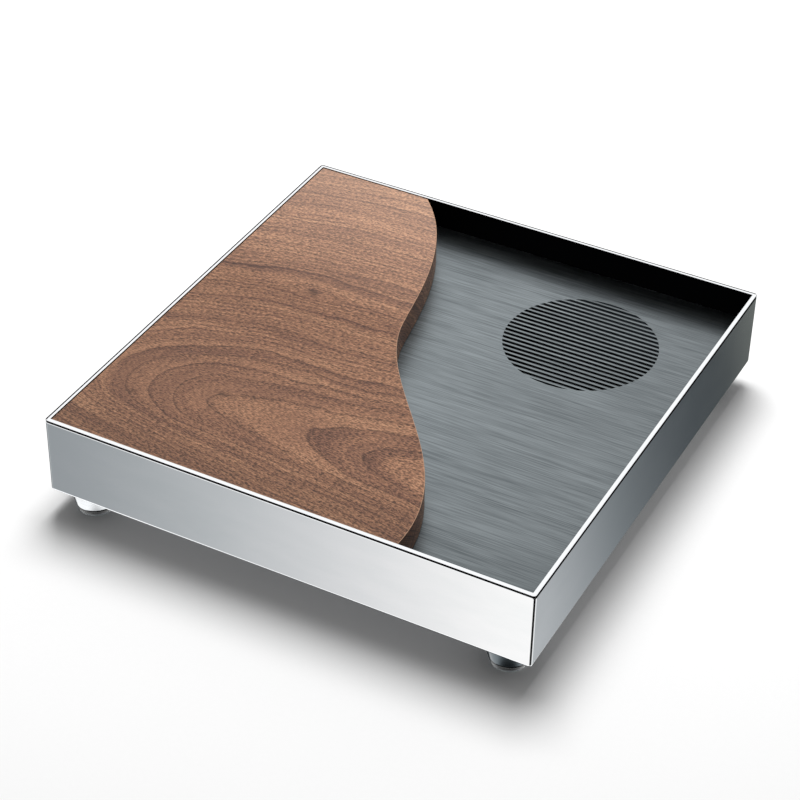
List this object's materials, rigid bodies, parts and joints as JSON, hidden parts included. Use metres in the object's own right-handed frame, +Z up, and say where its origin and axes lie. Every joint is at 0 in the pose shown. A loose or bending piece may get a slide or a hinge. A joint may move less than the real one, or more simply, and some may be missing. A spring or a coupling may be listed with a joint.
{
  "type": "wet tea tray",
  "caption": "Low square tea tray: polished steel case on small feet, recessed brushed deck with a round slotted drain, wavy-edged walnut board, lift-out catch pan.",
  "frame": {"origin": "on the table, under the middle of the tray", "axes": "+X to the right along the front, +Y to the back, +Z up"},
  "size_m": [0.31, 0.32, 0.0666],
  "materials": {
    "polished_steel": "mirror-polished stainless sheet",
    "brushed_steel": "stainless, long satin lines along X",
    "plain_steel": "mill-finish stainless",
    "oiled_walnut": "oiled solid walnut, 18 mm, grain along X",
    "black_silicone": "smooth moulded black silicone"
  },
  "bodies": {
    "case": {"outer_case": "polished_steel", "rim_frame": "polished_steel", "rim_seal": "black_silicone", "deck_seal": "black_silicone", "pan_rest_front_left": "black_silicone", "pan_rest_front_right": "black_silicone", "pan_rest_back_left": "black_silicone", "pan_rest_back_right": "black_silicone", "foot_cone_front_left": "polished_steel", "foot_cone_front_right": "polished_steel", "foot_cone_back_left": "polished_steel", "foot_cone_back_right": "polished_steel", "foot_tread_front_left": "black_silicone", "foot_tread_front_right": "black_silicone", "foot_tread_back_left": "black_silicone", "foot_tread_back_right": "black_silicone", "foot_washer_front_left": "plain_steel", "foot_washer_front_right": "plain_steel", "foot_washer_back_left": "plain_steel", "foot_washer_back_right": "plain_steel", "foot_screw_front_left": "plain_steel", "foot_screw_front_right": "plain_steel", "foot_screw_back_left": "plain_steel", "foot_screw_back_right": "plain_steel"},
    "pan": {"catch_pan": "plain_steel"},
    "deck": {"deck_plate": "brushed_steel", "deck_rib_left": "plain_steel", "deck_rib_right": "plain_steel", "board_peg_back": "plain_steel", "board_peg_front": "plain_steel"},
    "board": {"walnut_board": "oiled_walnut", "board_pad_back_left": "black_silicone", "board_pad_back_right": "black_silicone", "board_pad_front_left": "black_silicone", "board_pad_front_right": "black_silicone"}
  },
  "joints": [
    {"name": "pan_lift", "type": "slide", "parent": "case", "child": "pan", "axis": [0, 0, 1], "range_m": [0, 0.06]},
    {"name": "deck_lift", "type": "slide", "parent": "pan", "child": "deck", "axis": [0, 0, 1], "range_m": [0, 0.06]},
    {"name": "board_lift", "type": "slide", "parent": "deck", "child": "board", "axis": [0, 0, 1], "range_m": [0, 0.06]}
  ]
}
